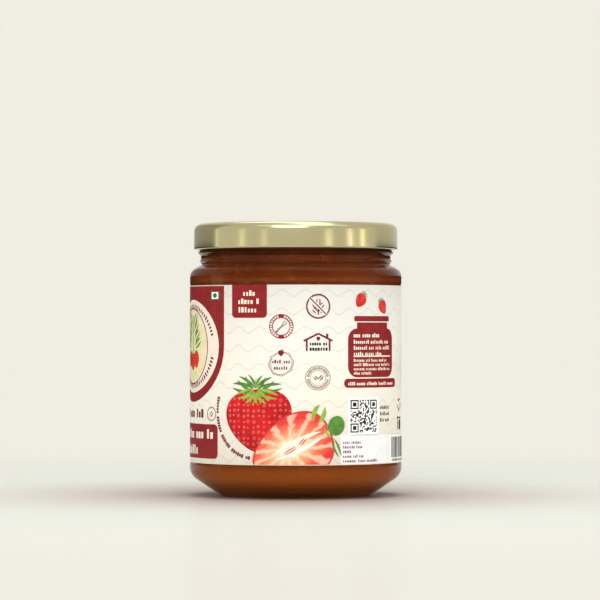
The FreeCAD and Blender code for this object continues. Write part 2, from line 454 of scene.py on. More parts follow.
def satin_metal():
    """Pale gold lacquer over tinplate, with fine marks from rolling."""
    material, tree, shader = new_material("satin_gold_metal")
    place = object_place(tree)
    colour = clouded(tree, place, 25.0, srgb(188, 180, 142), srgb(196, 188, 150))
    fine = noise(tree, place, 2600.0, 2.0)
    rough = fade(tree, fine, 0.3, 0.7, 0.15, 0.21)
    feed(tree, shader, Base_Color=colour, Metallic=1.0, Roughness=rough)
    bump(tree, fine, shader, 0.000002)
    return material


# The turned pieces


def make_glass():
    """The glass as one closed wall: hollow foot, heel, body, shoulder, beads and rim."""
    upper, lower = GLASS_TOP - 9.2, GLASS_TOP - 11.85
    panel = BODY_RADIUS - 0.15
    outline = [
        (0.0, 1.4, 0),
        (HOLLOW_RADIUS - 2.5, 1.4, 1.0),
        (HOLLOW_RADIUS, 0.0, 1.0),
        (FOOT_RADIUS, 0.0, 5.0),
        (BODY_RADIUS, 6.8, 4.4),
        (BODY_RADIUS, LABEL_BOTTOM - 0.5, 0),
        (panel, LABEL_BOTTOM - 0.5, 0),
        (panel, LABEL_TOP + 0.5, 0),
        (BODY_RADIUS, LABEL_TOP + 0.5, 0),
        (BODY_RADIUS, SHOULDER, 3.1),
        (NECK_RADIUS - 0.3, WAIST, 0.3),
        (NECK_RADIUS, lower - 0.6, 0),
        (NECK_RADIUS + 0.4, lower, 0.2),
        (NECK_RADIUS, lower + 0.6, 0),
        (NECK_RADIUS, upper - 1.0, 0),
        (NECK_RADIUS + 1.05, upper, 0.15),
        (NECK_RADIUS, upper + 1.0, 0),
        (NECK_RADIUS, GLASS_TOP, 0.9),
        (MOUTH_RADIUS, GLASS_TOP, 0.9),
        (MOUTH_RADIUS, WAIST - 2.9, 2.0),
        (BODY_RADIUS - WALL, SHOULDER - 2.9, 2.0),
        (BODY_RADIUS - WALL, FLOOR_TOP, 7.0),
        (0.0, FLOOR_TOP, 0),
    ]
    glass = turned("jar_glass", outline)
    smooth(glass, 28.0)
    return finish(glass, clear_glass(), "clear_glass", "glass_jar")


def make_jam():
    """The jam, its skin just inside the glass so that no air shows between them."""
    inner = BODY_RADIUS - WALL + INTO_WALL
    mouth = MOUTH_RADIUS + INTO_WALL
    outline = [
        (0.0, FLOOR_TOP - INTO_WALL, 0),
        (inner, FLOOR_TOP - INTO_WALL, 7.0),
        (inner, SHOULDER - 2.9, 2.0),
        (mouth, WAIST - 2.9, 2.0),
        (mouth, JAM_TOP, 0),
        (mouth - 1.5, JAM_TOP - 0.3, 0.6),
        (0.0, JAM_TOP - 0.3, 0),
    ]
    jam = turned("jam_filling", outline)
    smooth(jam)
    return finish(jam, fruit_jam(), "fruit_jam", "jam")


def make_lid():
    """The lid: pressed sheet with a rounded edge, a sunk panel and a rolled bottom."""
    top, skirt = lid_high.x / MM - 0.15, lid_high.x / MM
    sheet, curl = 0.3, 0.65
    middle = LID_BOTTOM + curl
    panel = MOUTH_RADIUS - 1.6
    outline = [
        (0.0, LID_TOP - 0.6, 0),
        (panel, LID_TOP - 0.6, 0.4),
        (panel + 0.8, LID_TOP, 0.4),
        (top, LID_TOP, 2.4),
        (skirt, middle, curl * 0.98),
        (skirt, LID_BOTTOM, curl * 0.98),
        (skirt - 2 * curl, LID_BOTTOM, curl * 0.98),
        (skirt - 2 * curl, middle + curl, curl * 0.98),
        (skirt - sheet, middle + curl, 0),
        (top - sheet, LID_TOP - sheet, 2.1),
        (panel + 0.8, LID_TOP - sheet, 0.4),
        (panel, LID_TOP - 0.6 - sheet, 0.4),
        (0.0, LID_TOP - 0.6 - sheet, 0),
    ]
    lid = turned("lid_pressing", outline)
    smooth(lid)
    return finish(lid, satin_metal(), "lid_metal", "lid")


# The print

stamps = {}
inked = {}
dice = random.Random(7)


def make_stamps():
    """The flat shapes that the print repeats, one millimetre in size, each made once."""
    fresh()
    bpy.ops.mesh.primitive_plane_add(size=MM)
    stamps["tile"] = bpy.context.object
    bpy.ops.mesh.primitive_circle_add(vertices=40, radius=MM, fill_type="NGON")
    stamps["dot"] = bpy.context.object
    bpy.ops.mesh.primitive_circle_add(vertices=3, radius=MM, fill_type="NGON")
    stamps["triangle"] = bpy.context.object
    stamps["leaf"] = make_leaf_stamp()
    stamps["berry"] = make_berry_stamp()
    stamps["star"] = make_star_stamp()


def make_leaf_stamp():
    """A leaf one long and one wide, pointed at both ends: two arcs back to back."""
    length, width = MM, 0.5 * MM
    radius = (length**2 + width**2) / (4 * width)
    drop = radius - width / 2
    bpy.ops.mesh.primitive_circle_add(
        vertices=96, radius=radius, fill_type="NGON", location=(0.0, -drop, 0.0)
    )
    leaf = bpy.context.object
    bpy.ops.object.transform_apply(location=True)
    slice_off(leaf, 0.0, -1)
    edit(leaf)
    bpy.ops.mesh.duplicate()
    bpy.ops.transform.resize(value=(1.0, -1.0, 1.0), center_override=(0.0, 0.0, 0.0))
    bpy.ops.mesh.flip_normals()
    done()
    place_flat(leaf, 0.0, 0.0, 0.0, 1.0, 2.0)
    return leaf


def make_berry_stamp():
    """A berry one high: broad round shoulders and a blunt tip."""
    bpy.ops.mesh.primitive_circle_add(vertices=64, radius=0.5 * MM, fill_type="NGON")
    berry = bpy.context.object
    for point in berry.data.vertices:
        rise = point.co.y / MM + 0.5
        point.co.x *= 0.62 + 0.42 * math.sin(rise * math.pi * 0.56)
        point.co.y -= 0.06 * MM * max(0.0, math.cos(point.co.x / MM * math.pi * 1.1)) * rise**4
    return berry


def make_star_stamp():
    """A berry's crown seen from the side: five narrow leaves spread from one place."""
    blades = []
    for degrees, length in ((12, 1.0), (52, 0.8), (95, 0.62), (135, 0.85), (170, 1.0)):
        blade = copy_of("leaf")
        place = turned_place(0.0, 0.0, degrees, 0.42 * length)
        place_flat(blade, *place, degrees, length, 0.34 * length)
        blades.append(blade)
    return joined(blades, "star")


def turned_place(along, height, degrees, reach, rise=None):
    """A place at that angle and reach round another; rise is its upward reach if it differs."""
    turn = math.radians(degrees)
    up = reach if rise is None else rise
    return along + reach * math.cos(turn), height + up * math.sin(turn)


def copy_of(stamp):
    """A copy of a stamp with its own mesh."""
    piece = stamps[stamp].copy()
    piece.data = stamps[stamp].data.copy()
    bpy.context.collection.objects.link(piece)
    return piece


def place_flat(piece, along, height, degrees=0.0, width=1.0, tall=1.0):
    """Sizes, turns and moves a flat shape, in millimetres, all in its mesh."""
    size = Matrix.Diagonal((width, tall, 1.0, 1.0))
    turn = Matrix.Rotation(math.radians(degrees), 4, "Z")
    piece.data.transform(Matrix.Translation((along * MM, height * MM, 0.0)) @ turn @ size)


def keep(piece, ink, layer):
    """Puts a shape with the others of its ink and layer."""
    inked.setdefault((ink, layer), []).append(piece)
    return piece


def stamp(kind, ink, layer, along, height, width, tall, degrees=0.0):
    """One stamped shape of the print."""
    piece = copy_of(kind)
    place_flat(piece, along, height, degrees, width, tall)
    return keep(piece, ink, layer)


def plate(ink, layer, along, height, width, tall, rounding=0.0, degrees=0.0, only=None):
    """A flat plate with rounded corners; only picks the corners that are rounded."""
    piece = copy_of("tile")
    place_flat(piece, 0.0, 0.0, 0.0, width, tall)
    if rounding:
        edit(piece)
        pick(piece, only or (lambda place: True))
        bpy.ops.mesh.bevel(offset=rounding * MM, segments=6, affect="VERTICES")
        done()
    place_flat(piece, along, height, degrees)
    return keep(piece, ink, layer)


def hoop(ink, layer, along, height, outer, inner, tall=1.0, degrees=0.0, sides=64):
    """A flat ring; a ring with few sides is a frame."""
    fresh()
    bpy.ops.mesh.primitive_circle_add(vertices=sides, radius=outer * MM, fill_type="NGON")
    piece = bpy.context.object
    edit(piece)
    bpy.ops.mesh.inset(thickness=(outer - inner) * MM * math.cos(math.pi / sides))
    bpy.ops.mesh.delete(type="FACE")
    done()
    place_flat(piece, along, height, degrees, 1.0, tall)
    return keep(piece, ink, layer)


def line(ink, layer, start, end, width):
    """A straight stroke between two places."""
    along, up = end[0] - start[0], end[1] - start[1]
    middle = ((start[0] + end[0]) / 2, (start[1] + end[1]) / 2)
    degrees = math.degrees(math.atan2(up, along))
    return stamp("tile", ink, layer, *middle, math.hypot(along, up), width, degrees)


def row_of_marks(ink, layer, left, right, base, tall, bold=0.62):
    """A line of small print: words of upright marks that spell nothing."""
    pitch = tall * 0.66
    here = left
    while here < right - pitch:
        for _ in range(dice.randint(3, 8)):
            if here > right - pitch:
                break
            mark = tall * dice.choice((0.7, 0.7, 0.75, 1.0))
            width = pitch * bold * dice.choice((0.8, 1.0, 1.15))
            stamp("tile", ink, layer, here + pitch / 2, base + mark / 2, width, mark)
            here += pitch
        here += pitch * 0.8


def rows_of_marks(ink, layer, left, rights, top, tall, spacing):
    """Several lines of small print under each other, each to its own end."""
    for count, right in enumerate(rights):
        row_of_marks(ink, layer, left, right, top - tall - count * spacing, tall)


def slice_off(piece, height, way):
    """Drops what lies above a height, or below it where way is -1."""
    edit(piece)
    bpy.ops.mesh.bisect(plane_co=(0, height * MM, 0), plane_no=(0, way, 0), clear_outer=True)
    done()


def print_front_panel():
    """The front: a red field round a pale oval with a sprig, a name place and a box."""
    middle, oval, across = -44.2, 48.5, 19.3
    field = stamp("dot", "red_ink", 1, middle, oval, across, 18.0)
    slice_off(field, oval, 1)
    tall = LABEL_TOP - 0.3 - oval
    stamp("tile", "red_ink", 1, middle, oval + tall / 2, 2 * across, tall)
    stamp("dot", "pale_ink", 2, middle, oval, 17.0, 15.0)
    hoop("dark_red_ink", 3, middle, oval, 11.4, 11.0, 1.08)
    stamp("dot", "straw_ink", 3, middle, oval, 10.6, 11.4)
    for side in (-1, 1):
        for step in range(4):
            reach = 4.6 - 0.7 * step
            place = (middle + side * reach, oval + 1.0 + 2.5 * step)
            stamp("leaf", "leaf_ink", 4, *place, 6.4, 2.4, side * (28 + 10 * step))
    line("leaf_ink", 4, (middle, oval - 2.0), (middle, oval + 10.0), 0.5)
    for step, side in enumerate((-1, 1, 0)):
        place = (middle + side * 3.2, oval - 5.0 + 0.8 * abs(side))
        stamp("berry", "berry_ink", 4, *place, 5.0, 5.6, 12 * side)
        stamp("star", "leaf_ink", 5, place[0], place[1] + 2.2, 1.6, 1.6)
    for count in range(28):
        degrees = 197 + count * 146 / 27
        round_mark("dark_red_ink", 3, middle, oval, 14.3, 12.9, degrees, 1.0, 1.5)
        round_mark("dark_red_ink", 3, middle, oval, 14.3, 12.9, degrees - 180, 1.0, 1.5)
    row_of_marks("dark_red_ink", 1, -55.0, -33.6, 25.6, 2.8, 0.7)
    hoop("brown_ink", 1, -30.9, 26.9, 2.4, 2.0, 0.95)
    stamp("leaf", "leaf_ink", 2, -30.9, 26.9, 2.8, 1.4, 50)
    plate("red_ink", 1, middle, 18.1, 32.8, 11.0, 1.6)
    row_of_marks("pale_ink", 2, middle - 14.5, middle + 14.5, 19.0, 3.0, 0.7)
    row_of_marks("pale_ink", 2, middle - 7.0, middle + 7.6, 13.9, 3.0, 0.7)


def round_mark(ink, layer, along, height, reach, rise, degrees, width, tall):
    """One mark of a line of print that runs round an oval."""
    size = dice.choice((0.75, 1.0)) * tall
    place = turned_place(along, height, degrees, reach, rise)
    stamp("tile", ink, layer, *place, width * 0.66, size, degrees - 90)


def print_weight_tab():
    """A red tab that hangs from the label's top edge, with three lines."""
    left, right, bottom = -21.6, -9.2, 57.6
    tall = LABEL_TOP - bottom
    middle = (left + right) / 2
    size = (right - left, tall, 1.3)
    plate("red_ink", 1, middle, bottom + tall / 2, *size, only=lambda place: place.y < 0)
    for start, end, base in ((-2.2, 2.6, 64.6), (-4.0, 4.6, 62.0), (-3.9, 4.3, 59.3)):
        row_of_marks("pale_ink", 2, middle + start, middle + end, base, 1.7, 0.68)


def print_green_mark():
    """The small green square with an oval dot."""
    along, height = -29.1, 64.75
    plate("green_ink", 1, along, height, 4.0, 2.9)
    plate("white_ink", 2, along, height, 3.2, 2.2)
    stamp("dot", "green_ink", 3, along, height, 1.0, 0.75)


def print_ring_stamp():
    """A dark red ring with a pale dashed line round a dropper."""
    along, height = -4.6, 54.9
    hoop("red_ink", 1, along, height, 3.9, 2.65)
    for count in range(26):
        degrees = count * 360 / 26
        if not (70 < degrees < 110 or 250 < degrees < 290):
            round_mark("pale_ink", 2, along, height, 3.28, 3.28, degrees, 0.8, 0.75)
    line("brown_ink", 1, (along - 1.3, height - 1.5), (along + 0.7, height + 0.6), 0.55)
    stamp("leaf", "grey_ink", 2, along + 1.1, height + 1.0, 2.4, 1.2, 45)
    stamp("dot", "dark_red_ink", 1, along - 1.5, height - 1.7, 0.32, 0.32)


def print_grain_mark():
    """A crossed ear of grain in a ring."""
    along, height = 7.2, 61.25
    hoop("dark_red_ink", 1, along, height, 3.95, 3.45)
    line("dark_red_ink", 1, (along, height - 2.6), (along, height + 0.6), 0.4)
    stamp("leaf", "dark_red_ink", 1, along, height + 1.5, 2.4, 1.5, 90)
    for rise in (-1.3, 0.25):
        for side in (-1, 1):
            place = (along + side * 1.05, height + rise)
            stamp("leaf", "dark_red_ink", 1, *place, 2.3, 1.4, side * 42)
            stamp("leaf", "cream_ink", 2, *place, 1.3, 0.6, side * 42)
    stamp("leaf", "cream_ink", 2, along, height + 1.5, 1.4, 0.65, 90)
    reach = 2.6
    start, end = (along - reach, height + reach), (along + reach, height - reach)
    line("cream_ink", 3, start, end, 1.0)
    line("dark_red_ink", 4, start, end, 0.42)


def print_house():
    """A little house: roof, chimney and walls round two lines."""
    middle, bottom, eaves, ridge = 7.2, 47.1, 50.3, 52.6
    for side in (-1, 1):
        line("dark_red_ink", 1, (middle, ridge), (middle + side * 4.7, eaves), 0.62)
        wall = middle + side * 3.7
        line("dark_red_ink", 1, (wall, bottom), (wall, eaves + 0.2), 0.6)
    line("dark_red_ink", 1, (middle + 2.9, eaves + 0.8), (middle + 2.9, ridge), 0.75)
    stamp("berry", "dark_red_ink", 1, middle, eaves + 0.75, 1.3, 1.4)
    row_of_marks("black_ink", 1, middle - 2.9, middle + 3.2, 48.9, 1.15, 0.72)
    row_of_marks("black_ink", 1, middle - 2.9, middle + 3.2, 47.2, 1.3, 0.72)


def print_badge():
    """A seal of two turned soft frames, a small berry on top and two lines."""
    along, height = -4.65, 43.1
    for degrees in (8, 53):
        hoop("brown_ink", 1, along, height, 4.3, 4.12, 0.88, degrees, sides=8)
        hoop("brown_ink", 1, along, height, 3.9, 3.78, 0.88, degrees + 22, sides=8)
    stamp("berry", "dark_red_ink", 2, along, height + 3.4, 1.9, 2.0)
    stamp("leaf", "leaf_ink", 3, along + 0.5, height + 4.3, 1.2, 0.6, 40)
    row_of_marks("dark_red_ink", 1, along - 3.0, along + 3.2, height + 0.1, 1.15, 0.7)
    row_of_marks("dark_red_ink", 1, along - 2.4, along + 2.6, height - 1.9, 1.15, 0.7)


def print_leaf_seal():
    """A seal of two thin rings with print between them and two leaves inside."""
    along, height = 7.1, 38.6
    hoop("brown_ink", 1, along, height, 4.1, 3.85, 0.96)
    hoop("brown_ink", 1, along, height, 2.55, 2.4, 0.96)
    for count in range(30):
        degrees = count * 12
        if degrees not in (0, 180):
            round_mark("brown_ink", 1, along, height, 3.2, 3.1, degrees, 0.7, 0.85)
    for side, length in ((-1, 1.9), (1, 2.6)):
        place = (along + side * length * 0.36, height - 0.35 + 0.16 * length)
        stamp("leaf", "dark_red_ink", 1, *place, length, 1.15, side * 46)
        stamp("leaf", "pink_ink", 2, *place, length * 0.6, 0.3, side * 46)


def print_small_berries():
    """Two small berries, one tipped each way."""
    for along, height, degrees in ((22.2, 63.2, -38.0), (32.4, 61.2, 32.0)):
        stamp("berry", "berry_ink", 1, along, height, 4.3, 5.0, degrees)
        crown = turned_place(along, height, degrees + 90, 2.3)
        stamp("star", "leaf_ink", 2, *crown, 1.9, 1.8, degrees)


def print_jar_sign():
    """A red jar shape with pale lines on it, and the pill under it."""
    left, right, bottom, top = 17.3, 38.4, 38.7, 58.2
    middle, across = (left + right) / 2, right - left
    lid_tall, neck_tall = 1.7, 1.9
    plate("red_ink", 1, middle, top - lid_tall / 2, across * 0.78, lid_tall, 0.5)
    neck = top - lid_tall - 0.35
    plate("red_ink", 1, middle, neck - neck_tall / 2, across * 0.68, neck_tall, 0.0)
    body = neck - neck_tall - bottom
    plate("red_ink", 1, middle, bottom + body / 2, across, body, 3.4)
    near, far = left + 2.0, right - 2.2
    row_of_marks("pale_ink", 2, near, near + 11.5, 51.4, 1.35, 0.75)
    rows_of_marks("pale_ink", 2, near, (far, far + 0.6, near + 13.2), 50.6, 1.2, 1.9)
    line("pale_ink", 2, (near, 45.4), (far + 0.6, 45.4), 0.42)
    ends = (near + 15.5, far + 0.4, far + 0.8, near + 7.4)
    rows_of_marks("pale_ink", 2, near, ends, 44.6, 0.95, 1.36)
    plate("red_ink", 1, 28.4, 36.85, 25.0, 2.9, 1.3)
    row_of_marks("pale_ink", 2, 17.2, 39.8, 36.2, 1.05, 0.72)


def print_matrix():
    """A square of random small squares on white, which encodes nothing, and its lines."""
    left, bottom, cells = 18.2, 21.2, 25
    cell = 11.0 / cells
    side = cell * cells
    plate("white_ink", 1, left + side / 2, bottom + side * 0.47, side + 2, side * 0.94 + 2)
    rise = cell * 0.94
    corner = 7
    for row in range(cells):
        for column in range(cells):
            in_corner = column < corner + 1 and (row < corner + 1 or row > cells - corner - 2)
            in_corner = in_corner or (column > cells - corner - 2 and row > cells - corner - 2)
            if in_corner or dice.random() < 0.52:
                continue
            place = (left + (column + 0.5) * cell, bottom + (row + 0.5) * rise)
            stamp("tile", "black_ink", 2, *place, cell, rise)
    far = cells - corner
    for column, row in ((0, 0), (0, far), (far, far)):
        place = (left + (column + 3.5) * cell, bottom + (row + 3.5) * rise)
        plate("black_ink", 2, *place, corner * cell, corner * rise)
        plate("white_ink", 3, *place, 5 * cell, 5 * rise)
        plate("black_ink", 4, *place, 3 * cell, 3 * rise)
    rows_of_marks("black_ink", 1, 30.9, (36.6, 36.9, 36.2), 29.6, 1.15, 2.0)


def print_signs():
    """Small black signs at the right: three turning arrows, a bin and a drop."""
    along, height = 45.6, 29.6
    for count in range(3):
        degrees = 90 + 120 * count
        place = turned_place(along, height, degrees, 1.7)
        stamp("tile", "black_ink", 1, *place, 1.9, 0.55, degrees - 90)
        place = turned_place(along, height, degrees + 38, 1.8)
        stamp("triangle", "black_ink", 1, *place, 0.7, 0.7, degrees)
    plate("black_ink", 1, along + 0.8, 23.2, 2.6, 3.2, 0.4)
    plate("black_ink", 1, along + 0.8, 25.4, 3.2, 0.5)
    stamp("dot", "black_ink", 1, along - 1.8, 25.4, 0.62, 0.62)
    line("black_ink", 1, (along - 1.8, 21.6), (along - 1.8, 24.6), 0.7)


def print_facts():
    """A pale patch with lines of small print, and upright bars with marks under them."""
    left, right, top = 14.6, 36.6, 20.6
    bottom = LABEL_BOTTOM + 0.3
    plate("wash_ink", 1, (left + right) / 2, (top + bottom) / 2, right - left, top - bottom)
    ends = (22.4, 23.0, 18.6, 23.6, 29.6)
    rows_of_marks("dark_red_ink", 2, 15.4, ends, 18.6, 0.95, 1.47)
    left, right = 36.9, 59.5
    plate("white_ink", 1, (left + right) / 2, 15.7, right - left + 1.6, 9.0)
    here = left + 0.9
    while here < right - 0.5:
        width = dice.choice((0.25, 0.25, 0.5, 0.75))
        stamp("tile", "black_ink", 2, here + width / 2, 16.1, width, 6.6)
        here += width + dice.choice((0.25, 0.25, 0.5))
    row_of_marks("black_ink", 2, left + 1.2, right - 1.0, 11.6, 1.0, 0.6)


def print_big_berry():
    """A whole berry with its crown, and a line of print round its lower left."""
    along, height = -12.4, 25.6
    stamp("berry", "berry_skin", 1, along, height, 23.6, 21.4, 6.0)
    crown = (along - 0.6, 34.6)
    upper = ((170, 9.8, 3.4), (9, 10.2, 3.2), (148, 8.4, 3.2), (32, 8.0, 3.2))
    upper += ((122, 6.6, 2.6), (58, 6.2, 2.6))
    lower = ((196, 8.0, 2.8), (-16, 8.8, 2.7), (222, 6.4, 2.5), (-44, 6.4, 2.5))
    lower += ((252, 5.2, 2.3), (-76, 5.4, 2.3))
    for degrees, length, tall in upper + lower:
        place = turned_place(*crown, degrees, 0.46 * length)
        ink = ("leaf_ink", 2) if (degrees, length, tall) in upper else ("lime_ink", 3)
        stamp("leaf", *ink, *place, length, tall, degrees)
    stamp("leaf", "lime_ink", 4, crown[0] + 0.4, crown[1] + 2.1, 4.6, 0.9, 100)
    for count in range(30):
        share = count / 29
        degrees = 161 + 97 * share
        place = turned_place(along, 27.0, degrees, 15.7 - 1.6 * share)
        if count % 7 != 6:
            mark = dice.choice((0.75, 1.0)) * 1.15
            stamp("tile", "dark_red_ink", 1, *place, 0.72, mark, degrees + 90)


def print_half_berry():
    """A berry cut in half, its stem end to the right, cut off by the label's edge."""
    along, height = -0.4, 16.6
    bottom = LABEL_BOTTOM + 0.25
    for ink, layer, size in (("rim_ink", 2, 1.0), ("flesh_ink", 3, 0.955)):
        half = stamp("berry", ink, layer, along, height, 21.6 * size, 29.0 * size, -68.0)
        slice_off(half, bottom, -1)
    stamp("leaf", "core_ink", 4, along + 1.2, height + 0.6, 21.0, 4.4, 26.0)
    stamp("leaf", "rim_ink", 5, along - 1.4, height - 1.1, 6.0, 1.1, 32.0)
    stamp("leaf", "rim_ink", 5, along + 2.6, height + 1.9, 4.2, 1.1, 52.0)
    stamp("leaf", "lime_ink", 4, 10.6, 21.6, 5.2, 2.2, -52.0)
    stamp("leaf", "leaf_ink", 5, 13.2, 16.4, 7.6, 2.2, -66.0)
    stamp("leaf", "lime_ink", 4, 7.4, 27.2, 7.0, 4.6, 68.0)
    stamp("dot", "leaf_ink", 4, 13.2, 23.4, 2.8, 3.2, -24.0)


def print_back():
    """The side away from the fruit: a framed table of small print and two signs."""
    left, right, bottom, top = -134.0, -96.0, 20.0, 61.0
    middle = (left + right) / 2
    plate("dark_red_ink", 1, middle, (top + bottom) / 2, right - left, top - bottom, 1.2)
    plate("cream_ink", 2, middle, (top + bottom) / 2, right - left - 0.9, top - bottom - 0.9, 0.9)
    row_of_marks("dark_red_ink", 3, left + 4.0, right - 4.0, top - 4.4, 2.2, 0.7)
    rows = 10
    for count in range(rows):
        base = top - 9.0 - count * 3.1
        row_of_marks("dark_red_ink", 3, left + 2.0, left + 19.0, base, 1.2)
        row_of_marks("dark_red_ink", 3, right - 8.0, right - 2.0, base, 1.2)
        line("brown_ink", 3, (left + 1.4, base - 0.9), (right - 1.4, base - 0.9), 0.16)
    for height in (55.0, 44.0, 33.0):
        hoop("dark_red_ink", 1, -84.0, height, 3.9, 3.5)
        stamp("leaf", "leaf_ink", 1, -84.0, height, 4.4, 2.2, 48)
    rows_of_marks("dark_red_ink", 1, -90.0, (-72.0, -71.0, -74.0, -70.5), 24.6, 1.2, 2.2)


def print_label():
    """All the print, then one wrapped piece for each ink and layer."""
    make_stamps()
    print_front_panel()
    print_weight_tab()
    print_green_mark()
    print_ring_stamp()
    print_grain_mark()
    print_house()
    print_badge()
    print_leaf_seal()
    print_small_berries()
    print_jar_sign()
    print_matrix()
    print_signs()
    print_facts()
    print_big_berry()
    print_half_berry()
    print_back()
    for (ink, layer), shapes in inked.items():
        piece = joined(shapes, f"print_{ink}_{layer}")
        wrap(piece, layer * LAYER)
        finish(piece, finishes[ink](), "printed_paper")
    for piece in stamps.values():
        bpy.data.objects.remove(piece)


def wrap(piece, proud):
    """Lays a flat shape round the jar, that far out from the paper's face."""
    cut_upright(piece)
    layer = piece.data.uv_layers.new(name="print")
    for corner, point in enumerate(piece.data.loops):
        place = piece.data.vertices[point.vertex_index].co
        layer.data[corner].uv = (place.x / MM, place.y / MM)
    upright = Matrix.Rotation(math.pi / 2, 4, "X")
    piece.data.transform(Matrix.Translation((0.0, -proud * MM, 0.0)) @ upright)
    places = [point.co.x for point in piece.data.vertices]
    radius = PAPER_RADIUS * MM
    bend = piece.modifiers.new("round_the_jar", "SIMPLE_DEFORM")
    bend.deform_method = "BEND"
    bend.deform_axis = "Z"
    bend.angle = (max(places) - min(places)) / radius
    alone(piece)
    bpy.ops.object.modifier_apply(modifier=bend.name)
    piece.data.transform(Matrix.Translation((0.0, -radius, 0.0)))
    smooth(piece, 60.0)


def cut_upright(piece):
    """Cuts a flat shape into narrow upright strips, so that it can bend."""
    places = [point.co.x / MM for point in piece.data.vertices]
    edit(piece)
    cut = math.ceil(min(places) / CUT_WIDTH) * CUT_WIDTH
    while cut < max(places):
        bpy.ops.mesh.select_all(action="SELECT")
        bpy.ops.mesh.bisect(plane_co=(cut * MM, 0, 0), plane_no=(1, 0, 0))
        cut += CUT_WIDTH
    done()


def make_paper():
    """The paper round the jar, with a narrow open seam at the side."""
    first = math.radians(SEAM_ANGLE + SEAM_WIDTH / 2 - 360) * PAPER_RADIUS
    last = math.radians(SEAM_ANGLE - SEAM_WIDTH / 2) * PAPER_RADIUS
    fresh()
    bpy.ops.mesh.primitive_plane_add(size=MM)
    paper = bpy.context.object
    paper.name = "label_paper"
    tall = LABEL_TOP - LABEL_BOTTOM
    place_flat(paper, (first + last) / 2, (LABEL_TOP + LABEL_BOTTOM) / 2, 0.0, last - first, tall)
    wrap(paper, 0.0)
    thick = paper.modifiers.new("paper", "SOLIDIFY")
    thick.thickness = 0.03 * MM
    thick.offset = -1.0
    bpy.ops.object.modifier_apply(modifier=thick.name)
    return finish(paper, cream_paper(), "printed_paper", "label")


# Paper and inks


def paper_shader(name, sheen=0.42):
    """Smooth coated paper: its fibres show as a faint relief and in the gloss."""
    material, tree, shader = new_material(name)
    fibre = placed(tree, paper_fibre(), Place=print_place(tree), Sheen=sheen)
    feed(tree, shader, IOR=1.45, Specular_IOR_Level=0.22, Roughness=fibre["Roughness"])
    bump(tree, fibre["Height"], shader, 0.00001, 0.5)
    return material, tree, shader


def cream_paper():
    """Cream paper with rows of faint wavy lines."""
    material, tree, shader = paper_shader("cream_paper")
    wave_length, wave_tall, first_row, row_gap = 7.4, 1.05, 42.05, 2.93
    place = add(tree, "ShaderNodeSeparateXYZ", Vector=print_place(tree)).outputs
    turn = maths(tree, "MULTIPLY_ADD", place["X"], math.tau / wave_length, 2.13)
    level = maths(tree, "MULTIPLY_ADD", maths(tree, "SINE", turn), wave_tall, place["Y"])
    row = maths(tree, "PINGPONG", maths(tree, "SUBTRACT", level, first_row), row_gap)
    lines = fade(tree, row, 0.16, 0.3, 1.0, 0.0)
    base = clouded(tree, print_place(tree), 5.0, srgb(240, 233, 223), srgb(243, 237, 228))
    feed(tree, shader, Base_Color=mixed(tree, lines, base, srgb(229, 219, 209)))
    return material


def printed_ink(name, dark, light, veined=False):
    """A printed ink that drifts between two colours; leaf ink has paler veins over it."""

    def make():
        material, tree, shader = paper_shader(name)
        place = print_place(tree)
        colour = clouded(tree, place, 0.5 if veined else 0.35, srgb(*dark), srgb(*light))
        if veined:
            veins = dict(Place=place, Scale=1.1, Leaf=colour, Vein=srgb(190, 214, 130))
            colour = placed(tree, leaf_veins(), **veins)["Color"]
        feed(tree, shader, Base_Color=colour)
        return material

    return make


def berry_colour(tree, cell, dark, light, rim, seed):
    """Berry skin: pits with a pale rim, each with a seed, on a mottled red."""
    place = print_place(tree)
    skin = clouded(tree, place, 0.16, srgb(*dark), srgb(*light))
    pits = dict(Place=place, Scale=1.0 / cell, Skin=skin, Rim=srgb(*rim), Seed=srgb(*seed))
    return placed(tree, berry_pits(), **pits)["Color"]


def berry_skin():
    """The big berry's skin, darker towards its outline."""
    material, tree, shader = paper_shader("berry_skin")
    tones = ((188, 14, 26), (224, 30, 34), (240, 128, 122), (166, 92, 38))
    colour = berry_colour(tree, 1.75, *tones)
    along, height, reach = -14.5, 29.5, 17.0
    lit = add(tree, "ShaderNodeMapping", Vector=print_place(tree))
    feed(tree, lit, Location=(-along / reach, -height / reach, 0.0))
    feed(tree, lit, Scale=(1 / reach, 1 / reach, 0.0))
    ball = add(tree, "ShaderNodeTexGradient", gradient_type="SPHERICAL", Vector=lit.outputs[0])
    shade = fade(tree, ball.outputs["Fac"], 0.05, 0.6, 0.55)
    feed(tree, shader, Base_Color=mixed(tree, 1.0, colour, shade, "MULTIPLY"))
    return material


def small_berry_skin():
    """The small berries' skin, with finer seeds."""
    material, tree, shader = paper_shader("small_berry_skin")
    tones = ((190, 26, 32), (222, 48, 44), (226, 86, 76), (238, 180, 110))
    feed(tree, shader, Base_Color=berry_colour(tree, 0.9, *tones))
    return material


